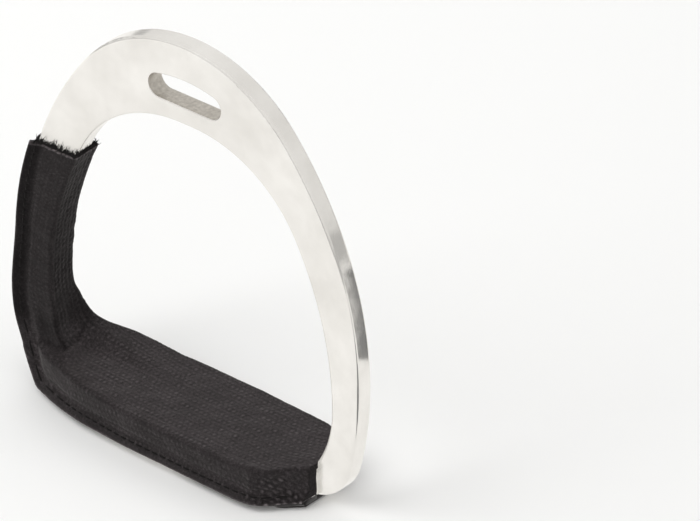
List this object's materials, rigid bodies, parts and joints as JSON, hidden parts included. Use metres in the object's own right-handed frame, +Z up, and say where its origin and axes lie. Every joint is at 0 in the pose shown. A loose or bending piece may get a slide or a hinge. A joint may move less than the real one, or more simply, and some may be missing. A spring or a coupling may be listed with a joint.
{
  "type": "stirrup iron",
  "caption": "Cast aluminium stirrup iron with a wide tread and an eye for the leather, its tread and a branch wrapped in a sewn cover of black webbing and glossy vinyl.",
  "frame": {"origin": "under the middle of the tread, on the surface the iron stands on", "axes": "+Z up through the middle of the leather's eye, X along the tread with the covered branch at -X, Y through the eye from front to back"},
  "size_m": [0.1477, 0.048, 0.1565],
  "materials": {
    "polished_aluminium": "polished casting",
    "pad_rubber": "closed-cell foam",
    "black_webbing": "ribbed weave",
    "black_vinyl": "glossy coated cloth",
    "thread": "bonded nylon thread"
  },
  "bodies": {
    "root": {"stirrup_iron": "polished_aluminium", "tread_pad": "pad_rubber", "webbing_panel": "black_webbing", "vinyl_panel": "black_vinyl", "front_needle_thread": "thread", "front_bobbin_thread": "thread", "back_needle_thread": "thread", "back_bobbin_thread": "thread"}
  },
  "joints": []
}
